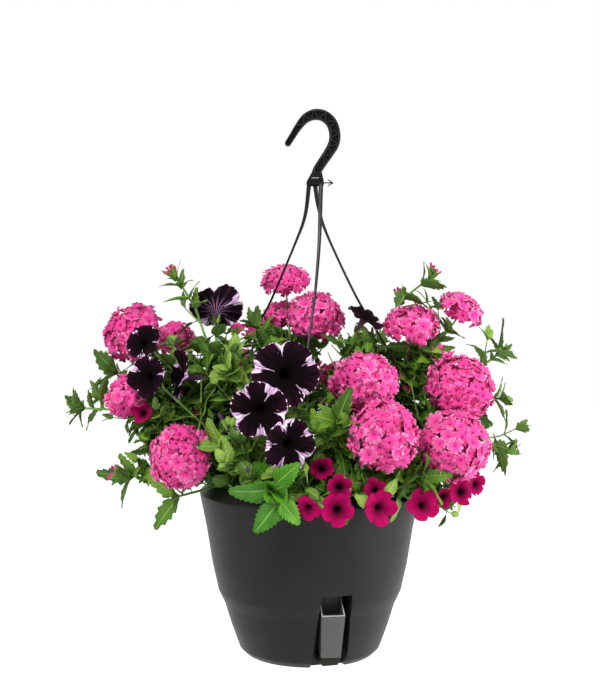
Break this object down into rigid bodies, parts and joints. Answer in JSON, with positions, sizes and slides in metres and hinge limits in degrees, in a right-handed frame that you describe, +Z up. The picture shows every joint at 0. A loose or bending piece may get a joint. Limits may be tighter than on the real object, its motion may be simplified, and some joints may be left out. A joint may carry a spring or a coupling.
{
  "type": "flowering hanging basket",
  "caption": "Dark plastic hanging pot with a filler spout and a moulded hook hanger, planted with pink verbena, dark star petunias and small magenta blooms.",
  "frame": {"origin": "middle of the pot's flat base", "axes": "+Z up along the pot's axis, -Y towards the front that the picture shows, +X to the viewer's right"},
  "size_m": [0.5851, 0.4028, 0.6636],
  "materials": {
    "anthracite": "satin moulded plastic",
    "hanger_black": "satin moulded plastic",
    "spout_grey": "satin moulded plastic",
    "plug_black": "matt moulded plastic",
    "insert_black": "matt moulded plastic",
    "soil": "moist peat compost",
    "verbena_pink": "soft petals",
    "petunia_dark": "velvety petals",
    "petunia_magenta": "velvety petals",
    "leaf_green": "satin leaves",
    "leaf_bright": "satin leaves"
  },
  "bodies": {
    "root": {"pot_shell": "anthracite", "reservoir_insert": "insert_black", "filler_spout": "spout_grey", "overflow_plug": "plug_black", "potting_soil": "soil", "hanger": "hanger_black", "verbena_low_left": "verbena_pink", "verbena_far_left": "verbena_pink", "verbena_mid_left": "verbena_pink", "verbena_high_middle": "verbena_pink", "verbena_middle_back": "verbena_pink", "verbena_middle": "verbena_pink", "verbena_right_of_middle": "verbena_pink", "verbena_front_right": "verbena_pink", "verbena_high_right": "verbena_pink", "verbena_far_right_top": "verbena_pink", "verbena_mid_right": "verbena_pink", "verbena_low_right": "verbena_pink", "verbena_back_far_left": "verbena_pink", "verbena_back_left": "verbena_pink", "verbena_back_middle": "verbena_pink", "verbena_back_right": "verbena_pink", "petunia_high_left": "petunia_dark", "petunia_front_top": "petunia_dark", "petunia_front_left": "petunia_dark", "petunia_front_low": "petunia_dark", "petunia_left_top": "petunia_dark", "petunia_left_mid": "petunia_dark", "petunia_left_side": "petunia_dark", "petunia_right_top": "petunia_dark", "petunia_back_left": "petunia_dark", "petunia_back_right": "petunia_dark", "petunia_back_middle": "petunia_dark", "magenta_front_1": "petunia_magenta", "magenta_front_2": "petunia_magenta", "magenta_front_3": "petunia_magenta", "magenta_front_4": "petunia_magenta", "magenta_front_5": "petunia_magenta", "magenta_front_6": "petunia_magenta", "magenta_right_1": "petunia_magenta", "magenta_right_2": "petunia_magenta", "magenta_right_3": "petunia_magenta", "magenta_right_4": "petunia_magenta", "magenta_right_5": "petunia_magenta", "magenta_left_1": "petunia_magenta", "magenta_back_1": "petunia_magenta", "magenta_back_2": "petunia_magenta", "spray_left_low": "leaf_green", "spray_far_left": "leaf_green", "spray_left_petunia": "leaf_green", "spray_front_petunia": "leaf_green", "spray_front_sprig": "leaf_bright", "spray_middle": "leaf_green", "spray_front_right": "leaf_green", "spray_right": "leaf_green", "spray_right_top": "leaf_green", "spray_front_magenta": "leaf_green", "spray_right_magenta": "leaf_green", "spray_back_left": "leaf_green", "spray_back_right": "leaf_green"}
  },
  "joints": []
}
